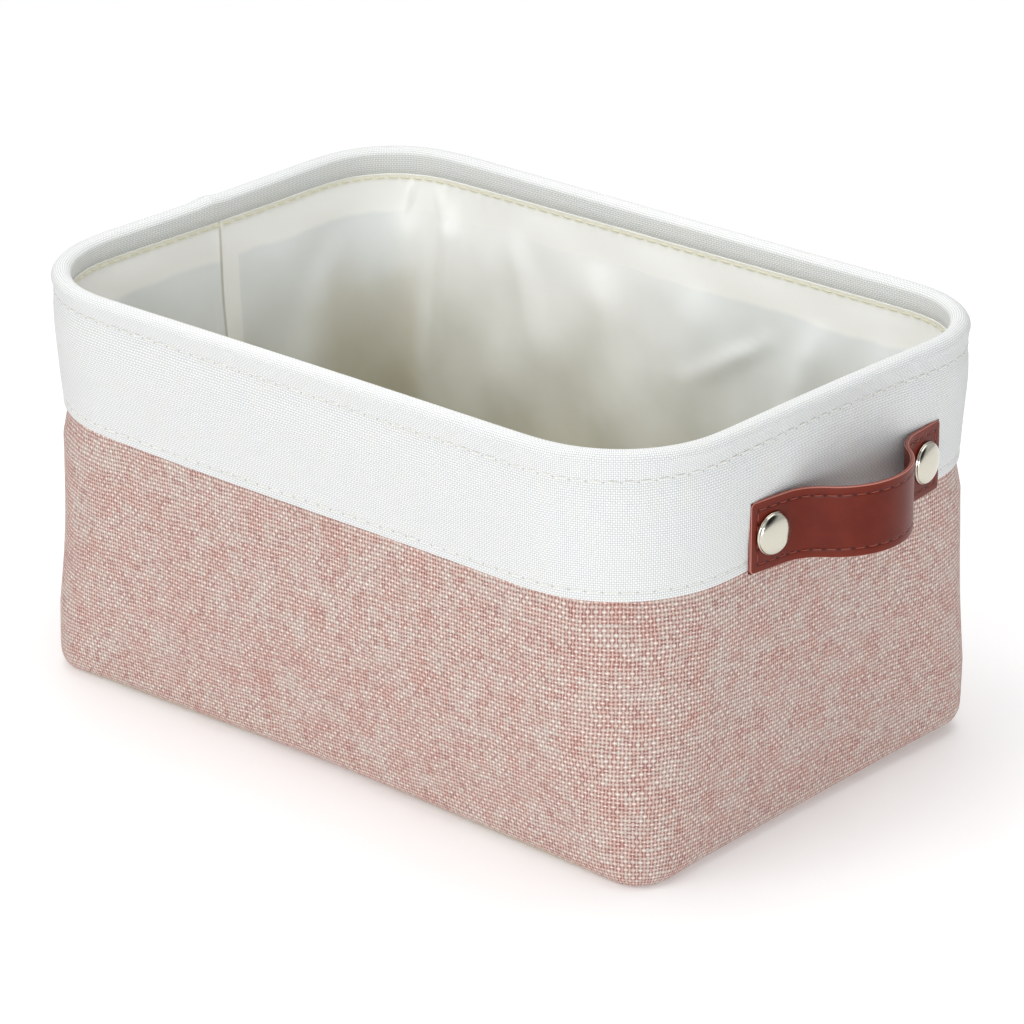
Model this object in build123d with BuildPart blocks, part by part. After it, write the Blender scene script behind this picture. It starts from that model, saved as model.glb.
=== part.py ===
import os
from math import acos, degrees, radians, sin

from build123d import *

# Fabric storage bin: an open box of dusty-rose linen with a white rim band, a wire in the rim,
# a loose inner lining and a riveted leather loop handle on each end.
# Millimetres, +Z up, +X along the length, origin at the middle of the underside.
# An "inset" is always a distance inwards from the outer face of the rim band.

# Body outline: (height, length, width, corner radius), straight lines between the levels
BODY_LEVELS = (
    (0.0, 290.5, 183.0, 14.0),
    (55.0, 297.0, 197.0, 39.0),
    (98.0, 300.0, 204.0, 46.0),
    (155.0, 300.0, 204.0, 46.0),
)
FOOT_Z, HIP_Z, BAND_LEVEL_Z, TOP_Z = (level[0] for level in BODY_LEVELS)
LENGTH, WIDTH, CORNER_RADIUS = BODY_LEVELS[-1][1:]

# Cloth and board layers, from the outside in
LAYER_GAP = 0.1
BAND_THICKNESS = 1.0
WALL_INSET = BAND_THICKNESS + LAYER_GAP
WALL_THICKNESS = 1.0
WALL_TOP_Z = 125.0
STIFFENER_INSET = 2.6
STIFFENER_THICKNESS = 1.5
STIFFENER_TOP_Z = 131.0
STIFFENER_SEAM_GAP = 10.0
LINER_INSET = 5.1
LINER_THICKNESS = 0.6
LINER_STEP_HEIGHT = 0.5
LINER_TOP_Z = 145.4

# Base: cloth, board and lining lie on each other
BASE_CLOTH_THICKNESS = 1.0
BOARD_THICKNESS = 2.0
BOARD_INSET = 2.8
BOARD_Z = BASE_CLOTH_THICKNESS + LAYER_GAP
FLOOR_Z = BOARD_Z + BOARD_THICKNESS + LAYER_GAP

# Rim: the band folds over a wire and comes down inside to the lining's top edge
BAND_BOTTOM_Z = 101.5
BEAD_RADIUS = 3.5
BEAD_Z = TOP_Z - BEAD_RADIUS
PINCH_Z = 145.5
BAND_INNER_END_Z = 136.0
WIRE_RADIUS = 1.3
WIRE_END_GAP = 1.0
FERRULE_OUTER_RADIUS = 1.85
FERRULE_BORE_RADIUS = WIRE_RADIUS + 0.1
FERRULE_LENGTH = 24.0

# Thread: each row of stitches is one plain ring
THREAD = 0.4
THREAD_GAP = 0.05
RIM_STITCH_Z = 144.0
HEM_STITCH_Z = 105.0

# Handles: a stitched double strap, bowed away from the wall between two rivets
HANDLE_Z = 114.5
HANDLE_OFFSET_Y = 6.5
STRAP_WIDTH = 25.0
STRAP_LENGTH = 101.0
STRAP_WALL_GAP = 0.8
STRAP_LAYER = 1.15
STRAP_CORNER = 1.5
BOW_HEIGHT = 19.0
CROWN_RADIUS = 26.0
FOOT_RADIUS = 17.0
BOW_ANGLE = degrees(acos(1 - BOW_HEIGHT / (CROWN_RADIUS + FOOT_RADIUS)))
BOW_HALF_LENGTH = (CROWN_RADIUS + FOOT_RADIUS) * sin(radians(BOW_ANGLE))
STRAP_STITCH_INSET = 3.0
STRAP_THREAD = 0.2
STRAP_OUTER_FACE = STRAP_WALL_GAP + 2 * STRAP_LAYER + LAYER_GAP

# Rivets: domed cap outside, washer behind the stiffener, post through everything between
RIVET_INSET = 9.6
RIVET_HALF_SPACING = STRAP_LENGTH / 2 - RIVET_INSET
CAP_RADIUS = 7.5
CAP_EDGE = 0.8
CAP_HEIGHT = 3.4
DOME_RISE = CAP_HEIGHT - CAP_EDGE
DOME_RADIUS = (CAP_RADIUS**2 + DOME_RISE**2) / (2 * DOME_RISE)
CAP_GAP = 0.3
CAP_UNDERSIDE = STRAP_OUTER_FACE + CAP_GAP
POST_RADIUS = 2.0
HOLE_RADIUS = 2.4
WASHER_RADIUS = 5.0
WASHER_THICKNESS = 0.8
WASHER_CLEARANCE = 0.05
WASHER_INSET = STIFFENER_INSET + STIFFENER_THICKNESS + WASHER_CLEARANCE
POST_INNER_END = WASHER_INSET + WASHER_THICKNESS

SIDES = (("right", 0), ("left", 180))


def outline(z, inset):
    """Length, width and corner radius of the body at height z, moved in by inset."""
    for low, high in zip(BODY_LEVELS, BODY_LEVELS[1:]):
        if z <= high[0]:
            share = (z - low[0]) / (high[0] - low[0])
            length, width, radius = (a + share * (b - a) for a, b in zip(low[1:], high[1:]))
            return length - 2 * inset, width - 2 * inset, radius - inset
    raise ValueError(f"height {z} is above the body")


def outline_face(z, inset):
    """The body's outline at height z, moved in by inset, as a flat face."""
    with BuildSketch(Plane.XY.offset(z)) as face:
        RectangleRounded(*outline(z, inset))
    return face.sketch


def wall_shell(levels, thickness):
    """An open tube of cloth or board: its outer face passes through the (height, inset) levels."""
    with BuildPart() as tube:
        loft([outline_face(z, inset) for z, inset in levels], ruled=True)
        loft([outline_face(z, inset + thickness) for z, inset in levels], ruled=True, mode=Mode.SUBTRACT)
    return tube


def flat_plate(z, inset, thickness):
    """A flat sheet with the body's outline."""
    with BuildPart() as plate:
        extrude(outline_face(z, inset), amount=thickness)
    return plate


def thread_ring(z, inset):
    """A row of stitches as one ring, its middle at height z."""
    lower = z - THREAD / 2
    with BuildPart() as ring:
        extrude(outline_face(lower, inset), amount=THREAD)
        extrude(outline_face(lower, inset + THREAD), amount=THREAD, mode=Mode.SUBTRACT)
    return ring


def half_rim_path(inset, end_gap=0.0):
    """The rim's line from the middle of the +X end round to the -X end, at the bead's height."""
    x, y = LENGTH / 2 - inset, WIDTH / 2 - inset
    with BuildLine(Plane.XY.offset(BEAD_Z)) as path:
        FilletPolyline((x, 0), (x, y), (-x, y), (-x, end_gap / 2), radius=CORNER_RADIUS - inset)
    return path.line


def wall_plane(turn):
    """A plane on the outer face of an end: local x along the strap, local y up, normal outwards."""
    outward = Vector(1, 0, 0).rotate(Axis.Z, turn)
    middle = Vector(LENGTH / 2, HANDLE_OFFSET_Y, HANDLE_Z).rotate(Axis.Z, turn)
    return Plane(origin=middle, x_dir=Vector(0, 1, 0).rotate(Axis.Z, turn), z_dir=outward)


def strap_plane(turn, height):
    """A level plane at a height above the strap's lower edge: local x outwards, local y along the strap."""
    lower_edge = HANDLE_Z - STRAP_WIDTH / 2
    corner = Vector(LENGTH / 2, HANDLE_OFFSET_Y, lower_edge + height).rotate(Axis.Z, turn)
    return Plane(origin=corner, x_dir=Vector(1, 0, 0).rotate(Axis.Z, turn), z_dir=(0, 0, 1))


def strap_curve(standoff, half_length):
    """The strap's line in plan at a standoff from the wall: flat tab, bow, flat tab."""
    rise = standoff - STRAP_WALL_GAP
    foot, crown = FOOT_RADIUS - rise, CROWN_RADIUS + rise
    with BuildLine() as curve:
        tab = Line((standoff, -half_length), (standoff, -BOW_HALF_LENGTH))
        out = JernArc(tab @ 1, tab % 1, foot, -BOW_ANGLE)
        top = JernArc(out @ 1, out % 1, crown, 2 * BOW_ANGLE)
        back = JernArc(top @ 1, top % 1, foot, -BOW_ANGLE)
        Line(back @ 1, (standoff, half_length))
    return curve.line


def strap_ribbon(plane, inner, outer, half_length):
    """The closed plan of one strap layer between two standoffs."""
    with BuildSketch(plane) as ribbon:
        with BuildLine():
            add(strap_curve(inner, half_length))
            add(strap_curve(outer, half_length))
            Line((inner, -half_length), (outer, -half_length))
            Line((inner, half_length), (outer, half_length))
        make_face()
    return ribbon.sketch


def rivet_circles(plane, radius):
    """A circle on each of a handle's two rivet axes."""
    with BuildSketch(plane) as circles:
        with Locations((-RIVET_HALF_SPACING, 0), (RIVET_HALF_SPACING, 0)):
            Circle(radius)
    return circles.sketch


def rivet_holes():
    """Clears the four rivet posts out of the wall layer being built."""
    for _, turn in SIDES:
        holes = rivet_circles(wall_plane(turn), HOLE_RADIUS)
        extrude(holes, amount=-2 * LINER_INSET, mode=Mode.SUBTRACT)


def finish(name, label):
    """Names a finished piece and writes it to its own file."""
    name.part.label = label
    export_step(name.part, f"parts/{label}.step")


os.makedirs("parts", exist_ok=True)

# ---- Rim band: white cloth, up the outside, over the wire and down inside ----
bead_axis_x = LENGTH / 2 - BEAD_RADIUS
outer_x = LENGTH / 2
leg_x = LENGTH / 2 - WALL_INSET
bead_hole = BEAD_RADIUS - BAND_THICKNESS

with BuildPart() as rim_band:
    with BuildSketch(Plane.XZ):
        with BuildLine():
            Polyline((outer_x - BAND_THICKNESS, BEAD_Z), (outer_x - BAND_THICKNESS, BAND_BOTTOM_Z),
                     (outer_x, BAND_BOTTOM_Z), (outer_x, BEAD_Z))
            ThreePointArc((outer_x, BEAD_Z), (bead_axis_x, TOP_Z), (bead_axis_x - BEAD_RADIUS, BEAD_Z))
            Polyline((bead_axis_x - BEAD_RADIUS, BEAD_Z), (leg_x - BAND_THICKNESS, PINCH_Z),
                     (leg_x - BAND_THICKNESS, BAND_INNER_END_Z), (leg_x, BAND_INNER_END_Z),
                     (leg_x, PINCH_Z), (bead_axis_x - bead_hole, BEAD_Z))
            ThreePointArc((bead_axis_x - bead_hole, BEAD_Z), (bead_axis_x, BEAD_Z + bead_hole),
                          (bead_axis_x + bead_hole, BEAD_Z))
        make_face()
    sweep(path=half_rim_path(BEAD_RADIUS))
    mirror(about=Plane.XZ)
    rivet_holes()
finish(rim_band, "rim_band")

# ---- Rim wire and the sleeve that joins its ends ----
with BuildPart() as rim_wire:
    with BuildSketch(Plane.XZ):
        with Locations((bead_axis_x, BEAD_Z)):
            Circle(WIRE_RADIUS)
    sweep(path=half_rim_path(BEAD_RADIUS, WIRE_END_GAP))
    mirror(about=Plane.XZ)
finish(rim_wire, "rim_wire")

with BuildPart() as wire_ferrule:
    with BuildSketch(Plane(origin=(-bead_axis_x, 0, BEAD_Z), z_dir=(0, 1, 0))):
        Circle(FERRULE_OUTER_RADIUS)
        Circle(FERRULE_BORE_RADIUS, mode=Mode.SUBTRACT)
    extrude(amount=FERRULE_LENGTH / 2, both=True)
finish(wire_ferrule, "wire_ferrule")

# ---- Outer wall: rose cloth from the ground up to behind the band ----
outer_wall = wall_shell(
    [(FOOT_Z, WALL_INSET), (HIP_Z, WALL_INSET), (BAND_LEVEL_Z, WALL_INSET), (WALL_TOP_Z, WALL_INSET)],
    WALL_THICKNESS,
)
with outer_wall:
    rivet_holes()
finish(outer_wall, "outer_wall")

# ---- Stiffener: one board wrapped round inside the wall, its ends apart at the -X seam ----
stiffener_bottom = FLOOR_Z + LAYER_GAP
wall_stiffener = wall_shell(
    [(stiffener_bottom, STIFFENER_INSET), (HIP_Z, STIFFENER_INSET),
     (BAND_LEVEL_Z, STIFFENER_INSET), (STIFFENER_TOP_Z, STIFFENER_INSET)],
    STIFFENER_THICKNESS,
)
with wall_stiffener:
    with Locations((-LENGTH / 2, 0, TOP_Z / 2)):
        Box(4 * LINER_INSET, STIFFENER_SEAM_GAP, TOP_Z, mode=Mode.SUBTRACT)
    rivet_holes()
finish(wall_stiffener, "wall_stiffener")

# ---- Lining: hangs inside the stiffener and steps out to the rim above it ----
above_stiffener = STIFFENER_TOP_Z + LINER_STEP_HEIGHT
liner_hem_z = BAND_INNER_END_Z
liner_hem_inset = WALL_INSET + BAND_THICKNESS + LAYER_GAP
liner_wall = wall_shell(
    [(FLOOR_Z, LINER_INSET), (HIP_Z, LINER_INSET), (BAND_LEVEL_Z, LINER_INSET),
     (above_stiffener, LINER_INSET), (liner_hem_z, liner_hem_inset), (LINER_TOP_Z, liner_hem_inset)],
    LINER_THICKNESS,
)
finish(liner_wall, "liner_wall")

# ---- Base: cloth, board and lining, from the ground up ----
outer_base = flat_plate(FOOT_Z, WALL_INSET + WALL_THICKNESS + LAYER_GAP, BASE_CLOTH_THICKNESS)
finish(outer_base, "outer_base")

base_board = flat_plate(BOARD_Z, BOARD_INSET, BOARD_THICKNESS)
finish(base_board, "base_board")

liner_base = flat_plate(FLOOR_Z, LINER_INSET + LINER_THICKNESS + LAYER_GAP, LINER_THICKNESS)
finish(liner_base, "liner_base")

# ---- Thread rows ----
outside_band = -THREAD - THREAD_GAP
rim_needle_thread = thread_ring(RIM_STITCH_Z, outside_band)
finish(rim_needle_thread, "rim_needle_thread")

rim_bobbin_thread = thread_ring(RIM_STITCH_Z, liner_hem_inset + LINER_THICKNESS + THREAD_GAP)
finish(rim_bobbin_thread, "rim_bobbin_thread")

hem_needle_thread = thread_ring(HEM_STITCH_Z, outside_band)
finish(hem_needle_thread, "hem_needle_thread")

hem_bobbin_thread = thread_ring(HEM_STITCH_Z, WALL_INSET + WALL_THICKNESS + THREAD_GAP)
finish(hem_bobbin_thread, "hem_bobbin_thread")

base_seam_thread = thread_ring(BOARD_Z + THREAD, WALL_INSET + WALL_THICKNESS + LAYER_GAP)
finish(base_seam_thread, "base_seam_thread")

# ---- Handles ----
backing_outer = STRAP_WALL_GAP + STRAP_LAYER
face_inner = backing_outer + LAYER_GAP
stitch_half_length = STRAP_LENGTH / 2 - STRAP_STITCH_INSET
stitch_height = STRAP_WIDTH - 2 * STRAP_STITCH_INSET
thread_inner = STRAP_OUTER_FACE + THREAD_GAP
thread_outer = thread_inner + STRAP_THREAD

for side, turn in SIDES:
    for layer, inner, outer in (("backing", STRAP_WALL_GAP, backing_outer),
                                ("face", face_inner, STRAP_OUTER_FACE)):
        with BuildPart() as strap_layer:
            extrude(strap_ribbon(strap_plane(turn, 0), inner, outer, STRAP_LENGTH / 2), amount=STRAP_WIDTH)
            fillet(strap_layer.edges().filter_by(Axis.X), STRAP_CORNER)
            holes = rivet_circles(wall_plane(turn), HOLE_RADIUS)
            extrude(holes, amount=CAP_UNDERSIDE, mode=Mode.SUBTRACT)
        finish(strap_layer, f"strap_{layer}_{side}")

    # the thread runs round the face in one closed line
    with BuildPart() as strap_thread:
        outside = strap_ribbon(strap_plane(turn, STRAP_STITCH_INSET), thread_inner,
                               thread_outer, stitch_half_length)
        extrude(outside, amount=stitch_height)
        inside = strap_ribbon(strap_plane(turn, STRAP_STITCH_INSET + THREAD), thread_inner,
                              thread_outer, stitch_half_length - THREAD)
        extrude(inside, amount=stitch_height - 2 * THREAD, mode=Mode.SUBTRACT)
    finish(strap_thread, f"strap_thread_{side}")

    face = wall_plane(turn)
    with BuildPart() as rivet_caps:
        for along in (-RIVET_HALF_SPACING, RIVET_HALF_SPACING):
            foot = face.from_local_coords((along, 0, CAP_UNDERSIDE))
            with BuildSketch(Plane(origin=foot, x_dir=face.x_dir, z_dir=-face.y_dir)):
                with BuildLine():
                    Polyline((0, CAP_HEIGHT), (0, 0), (CAP_RADIUS, 0), (CAP_RADIUS, CAP_EDGE))
                    RadiusArc((CAP_RADIUS, CAP_EDGE), (0, CAP_HEIGHT), -DOME_RADIUS)
                make_face()
            revolve(axis=Axis(foot, face.z_dir))
    finish(rivet_caps, f"rivet_caps_{side}")

    with BuildPart() as rivet_posts:
        post_feet = rivet_circles(face.offset(-POST_INNER_END), POST_RADIUS)
        extrude(post_feet, amount=POST_INNER_END + CAP_UNDERSIDE)
    finish(rivet_posts, f"rivet_posts_{side}")

    with BuildPart() as rivet_washers:
        inner_end = face.offset(-POST_INNER_END)
        extrude(rivet_circles(inner_end, WASHER_RADIUS), amount=WASHER_THICKNESS)
        bore = rivet_circles(inner_end, POST_RADIUS + WASHER_CLEARANCE)
        extrude(bore, amount=WASHER_THICKNESS, mode=Mode.SUBTRACT)
    finish(rivet_washers, f"rivet_washers_{side}")
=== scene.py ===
import math

import bpy
import numpy as np
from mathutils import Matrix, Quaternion, Vector


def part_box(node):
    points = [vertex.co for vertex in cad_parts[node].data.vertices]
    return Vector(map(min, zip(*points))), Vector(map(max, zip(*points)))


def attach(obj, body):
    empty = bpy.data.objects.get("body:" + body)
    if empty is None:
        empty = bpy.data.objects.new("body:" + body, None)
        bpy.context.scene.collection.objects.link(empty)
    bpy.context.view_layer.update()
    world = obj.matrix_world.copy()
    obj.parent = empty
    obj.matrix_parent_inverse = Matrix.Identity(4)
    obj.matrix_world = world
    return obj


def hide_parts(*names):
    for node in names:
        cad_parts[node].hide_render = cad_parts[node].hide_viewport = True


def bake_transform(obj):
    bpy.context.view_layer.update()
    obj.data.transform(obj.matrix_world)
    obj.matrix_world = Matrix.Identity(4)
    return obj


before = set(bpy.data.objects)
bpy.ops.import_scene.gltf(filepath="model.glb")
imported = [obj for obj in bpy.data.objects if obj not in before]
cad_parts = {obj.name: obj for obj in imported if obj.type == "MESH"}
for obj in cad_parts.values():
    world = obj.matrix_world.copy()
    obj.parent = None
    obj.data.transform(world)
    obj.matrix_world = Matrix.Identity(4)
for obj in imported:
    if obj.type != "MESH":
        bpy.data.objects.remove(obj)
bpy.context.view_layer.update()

# Millimetres and row-frame axes, like the CAD; meshes are scaled to metres when they are made.
# An "inset" is a distance inwards from the outer face of the rim band.
MM = 0.001


def cad_box_mm(node):
    """Lowest and highest corner of a CAD node in millimetres."""
    return [np.array(corner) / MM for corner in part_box(node)]


BAND_LOW, BAND_HIGH = cad_box_mm("rim_band")
LENGTH, WIDTH = (BAND_HIGH - BAND_LOW)[:2]
TOP_Z = BAND_HIGH[2]
BAND_BOTTOM_Z = BAND_LOW[2]
WALL_INSET = (LENGTH - np.ptp(cad_box_mm("outer_wall"), axis=0)[0]) / 2
STIFFENER_TOP_Z = cad_box_mm("wall_stiffener")[1][2]
FLOOR_Z = cad_box_mm("liner_base")[1][2]
RIM_STITCH_Z = np.mean([corner[2] for corner in cad_box_mm("rim_needle_thread")])
HEM_STITCH_Z = np.mean([corner[2] for corner in cad_box_mm("hem_needle_thread")])
LINER_TOP_Z = cad_box_mm("liner_wall")[1][2]

# Body outline: height, length, width and corner radius, close to the CAD's levels
LEVEL_Z = np.array([0.0, 25.0, 55.0, 98.0, 140.0, TOP_Z])
LEVEL_LENGTH = LENGTH + np.array([-9.5, -6.5, -4.2, -3.0, 0.0, 0.0])
LEVEL_WIDTH = WIDTH + np.array([-21.0, -13.0, -7.5, -3.8, 0.0, 0.0])
LEVEL_RADIUS = np.array([14.0, 28.0, 39.0, 46.0, 45.0, 45.0])
# Soft corners differ a little: share of the radius at -X-Y, +X-Y, +X+Y and -X+Y
CORNER_SHARES = np.array([1.15, 1.03, 0.95, 0.84])
LEVEL_SOFTNESS = 12.0
PERIMETER = 2 * (LENGTH + WIDTH) - (8 - 2 * math.pi) * LEVEL_RADIUS[-1]

CLOTH_COLUMNS = 620
BAND_COLUMNS = 880
LINING_COLUMNS = 760
LINEN_PITCH_U, LINEN_PITCH_V = 1.30, 1.57
COTTON_PITCH_U, COTTON_PITCH_V = 0.76, 0.80
LINING_PITCH = 0.45
# The lining's own seam at the -X end, and where the strip of turned cloth beside it begins
SEAM_U = PERIMETER - 4.5
STRIP_START = SEAM_U - 8.5
# The rim's stitches slope a little: they come out lower on the inside
INNER_STITCH_Z = RIM_STITCH_Z - 0.3
WALL_THICKNESS = 0.9
BAND_THICKNESS = 0.55
LINING_THICKNESS = 0.5
BOTTOM_ROUNDING = 7.0
BASE_SEAM_INSET = WALL_INSET + BOTTOM_ROUNDING + 2.4


# ------------------------------------------------------------------ shapes

def lengths_along(points):
    """Each point's distance from the first, along the polyline."""
    return np.concatenate([[0], np.cumsum(np.linalg.norm(np.diff(points, axis=0), axis=1))])


def units(vectors):
    """The same directions, each one long."""
    return vectors / np.linalg.norm(vectors, axis=1)[:, None]


def places_round(columns):
    """Even places along the perimeter, from the middle of the -X end."""
    return np.arange(columns) * PERIMETER / columns


def off_place(u, centre):
    """Distance from a place on the perimeter, the short way round."""
    return (u - centre + PERIMETER / 2) % PERIMETER - PERIMETER / 2


def size_at(z):
    """Length, width and corner radius at height z, with the CAD's levels rounded into each other."""
    near = np.clip(z + np.linspace(-LEVEL_SOFTNESS, LEVEL_SOFTNESS, 9), 0, TOP_Z)
    return [np.interp(near, LEVEL_Z, level).mean() for level in (LEVEL_LENGTH, LEVEL_WIDTH, LEVEL_RADIUS)]


STRAIGHT_STEPS, CORNER_STEPS = 60, 40
# How far the outline's straights and corners run into each other, as a share of the corner radius
OUTLINE_SOFTNESS = 0.16


def outline(z, columns):
    """Points and outward normals round the body at height z, evenly spaced from the middle of the -X end."""
    length, width, radius = size_at(z)
    a, b = length / 2, width / 2
    r = radius * CORNER_SHARES
    centres = [(-a + r[0], -b + r[0]), (a - r[1], -b + r[1]), (a - r[2], b - r[2]), (-a + r[3], b - r[3])]
    starts = [(-a, 0), (-a + r[0], -b), (a, -b + r[1]), (a - r[2], b), (-a, b - r[3])]
    ends = [(-a, -b + r[0]), (a - r[1], -b), (a, b - r[2]), (-a + r[3], b), (-a, 0)]
    walk = []
    for k in range(5):
        (x0, y0), (x1, y1) = starts[k], ends[k]
        share = np.linspace(0, 1, STRAIGHT_STEPS, endpoint=False)
        walk.append(np.stack([x0 + share * (x1 - x0), y0 + share * (y1 - y0)], 1))
        if k < 4:
            turn = np.radians(180 + 90 * k + 90 * np.linspace(0, 1, CORNER_STEPS, endpoint=False))
            walk.append(centres[k] + r[k] * np.stack([np.cos(turn), np.sin(turn)], 1))
    walk = np.concatenate(walk + [[(-a, 0)]])
    along = lengths_along(walk)
    even = np.linspace(0, along[-1], columns, endpoint=False)
    points = np.stack([np.interp(even, along, walk[:, axis]) for axis in (0, 1)], 1)
    wave = np.fft.fft(points, axis=0)
    turns = np.fft.fftfreq(columns) * columns
    softness = OUTLINE_SOFTNESS * radius / along[-1]
    points = np.fft.ifft(wave * np.exp(-0.5 * (2 * math.pi * turns * softness)[:, None] ** 2), axis=0).real
    tangent = units(np.roll(points, -1, 0) - np.roll(points, 1, 0))
    return points, np.stack([tangent[:, 1], -tangent[:, 0]], 1)


def ripple(u, z, count, length, seed):
    """Gentle random waves over the cloth, at least length long, periodic round the body and about 1 high."""
    waves = np.random.RandomState(seed)
    total = np.zeros(np.broadcast(u, z).shape)
    for _ in range(count):
        turns = waves.randint(1, max(2, int(PERIMETER / length)))
        climb = waves.uniform(-1, 1) * 2 * math.pi / length
        total += np.cos(2 * math.pi * turns * u / PERIMETER + climb * z + waves.uniform(0, 6.28))
    return total / math.sqrt(count)


def bump_at(u, centre, width):
    """A smooth hill, 1 high, round a place on the perimeter."""
    return np.exp(-(off_place(u, centre) / width) ** 2)


# The straps pull the middle of each end in a little
END_DIP = 1.3
# The long sides bulge a little at mid height, and their foot is drawn in towards the base
SIDE_BULGE = 0.4
FOOT_DRAW = 1.6
UNEVENNESS = 0.45
# The soft base's long edges and its +X+Y corner stand a little off the ground
EDGE_LIFT = 0.9
CORNER_LIFT = 3.2
LIFTED_CORNER = 0.61

# Places round the perimeter, from the -X seam: middles of the front side, +X end and back side
FRONT_U, RIGHT_U, BACK_U = PERIMETER * 0.25, PERIMETER * 0.5, PERIMETER * 0.75


def wall_swell(u, z):
    """How far the soft wall stands out from its plain outline."""
    upper = np.clip((z - 100) / 45, 0, 1)
    body = np.sin(math.pi * np.clip(z / 110, 0, 1))
    ends = bump_at(u, RIGHT_U, 60) + bump_at(u, 0, 60)
    sides = bump_at(u, FRONT_U, 90) + bump_at(u, BACK_U, 90)
    swell = body * SIDE_BULGE * sides - FOOT_DRAW * sides * np.exp(-(z / 40) ** 2)
    uneven = UNEVENNESS * ripple(u, z, 7, 90, 3) * body
    return (swell + uneven) * (1 - upper) - END_DIP * ends


def wall_lift(u, z):
    """How far the soft base stands off the ground, fading out up the wall."""
    sides = bump_at(u, FRONT_U, 85) + bump_at(u, BACK_U, 85)
    corner = bump_at(u, PERIMETER * LIFTED_CORNER, 70)
    return (EDGE_LIFT * sides + CORNER_LIFT * corner) * np.exp(-(z / 28) ** 2)


def body_rings(z, inset, columns=CLOTH_COLUMNS, extra=None):
    """Rings of points at matching heights and insets; extra is a further swell for each ring and column."""
    z, inset = np.asarray(z, float), np.asarray(inset, float)
    u = places_round(columns)
    rings = np.empty((len(z), columns, 3))
    for k in range(len(z)):
        points, normals = outline(z[k], columns)
        out = wall_swell(u, z[k]) - inset[k]
        if extra is not None:
            out = out + extra[k]
        rings[k, :, :2] = points + normals * out[:, None]
        rings[k, :, 2] = z[k] + wall_lift(u, z[k])
    return rings


def grid_faces(rows, columns, wrap_rows, wrap_columns):
    """Four-sided faces between a grid's points; a wrap joins the last line to the first."""
    r = np.arange(rows if wrap_rows else rows - 1)[:, None]
    c = np.arange(columns if wrap_columns else columns - 1)[None, :]
    r1, c1 = (r + 1) % rows, (c + 1) % columns
    corners = [r * columns + c, r * columns + c1, r1 * columns + c1, r1 * columns + c]
    return np.stack(corners, -1).reshape(-1, 4)


def make_mesh(name, points, faces, uv=None, smooth=True):
    """A mesh object from points in millimetres, faces, and one (u, v) per face corner."""
    mesh = bpy.data.meshes.new(name)
    metres = np.asarray(points).reshape(-1, 3) * MM
    mesh.from_pydata(metres.tolist(), [], [list(map(int, face)) for face in faces])
    if uv is not None:
        layer = mesh.uv_layers.new(name="cloth")
        layer.data.foreach_set("uv", np.asarray(uv, np.float32).ravel())
    mesh.polygons.foreach_set("use_smooth", [smooth] * len(mesh.polygons))
    mesh.update()
    obj = bpy.data.objects.new(name, mesh)
    bpy.context.scene.collection.objects.link(obj)
    return obj


def tube(name, rings, v):
    """A closed skin over rings that go round the body. Its UVs are millimetres of cloth."""
    rows, columns = rings.shape[:2]
    faces = grid_faces(rows, columns, True, True)
    u = np.arange(columns + 1) * PERIMETER / columns
    v = np.append(v, v[0])
    r, c = np.broadcast_arrays(np.arange(rows)[:, None], np.arange(columns)[None, :])
    uv = np.stack([np.stack([u[c + dc], v[r + dr]], -1) for dr, dc in ((0, 0), (0, 1), (1, 1), (1, 0))], -2)
    return make_mesh(name, rings, faces, uv.reshape(-1, 2))


def spaced(points, step):
    """A polyline with points every step along it, and the distance of each."""
    points = np.asarray(points, float)
    along = lengths_along(points)
    even = np.linspace(0, along[-1], max(2, int(round(along[-1] / step)) + 1))
    return np.stack([np.interp(even, along, points[:, k]) for k in range(points.shape[1])], 1), even


def rounded_line(points, step, softness):
    """The same polyline with its corners rounded off by softness."""
    line, _ = spaced(points, step)
    reach = int(round(softness / step))
    kernel = np.hanning(2 * reach + 3)[1:-1]
    kernel /= kernel.sum()
    padded = np.concatenate([np.repeat(line[:1], reach, 0), line, np.repeat(line[-1:], reach, 0)])
    return np.stack([np.convolve(padded[:, k], kernel, "valid") for k in range(line.shape[1])], 1)


def cloth_skin(line, thickness):
    """A closed profile from a cloth's outer line (inset, z): the line, then back at the cloth's thickness.
    The cloth lies on the line's left-hand side. Returns the profile and the cloth length of each point."""
    tangent = units(np.gradient(line, axis=0))
    inner = line + np.stack([-tangent[:, 1], tangent[:, 0]], 1) * thickness
    along = lengths_along(line)
    return np.concatenate([line, inner[::-1]]), np.concatenate([along, along[::-1]])


PANEL_COLUMNS = 240


def flat_panel(name, z, inset, thickness):
    """A closed flat cloth or board panel with the body's outline, its edges slightly rounded."""
    columns = PANEL_COLUMNS
    # Rings from the edge inwards, as shares of the way from the middle
    shares = np.concatenate([np.linspace(1, 0.92, 5), np.linspace(0.85, 0.04, 22)])
    edge, _ = outline(z, columns)
    u = places_round(columns)
    reach = np.linalg.norm(edge, axis=1)
    edge = edge * (1 - inset / reach)[:, None]
    rows = []
    for side, order in ((0, shares[::-1]), (1, shares)):
        for share in order:
            height = z + side * thickness
            if share == 1:
                height += (0.25 - 0.5 * side) * thickness
            lift = wall_lift(u, z) * share ** 6
            rows.append(np.column_stack([edge * share, height + lift]))
    rings = np.array(rows)
    points = rings.reshape(-1, 3)
    faces = [list(f) for f in grid_faces(len(rings), columns, False, True)]
    faces.append(list(range(columns)))
    faces.append(list(range(len(points) - 1, len(points) - 1 - columns, -1)))
    uv = np.concatenate([points[f][:, :2] for f in faces])
    return make_mesh(name, points, faces, uv)


THREAD_FLATNESS = 0.8
THREAD_SIDES, THREAD_STATIONS = 8, 7


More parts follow.
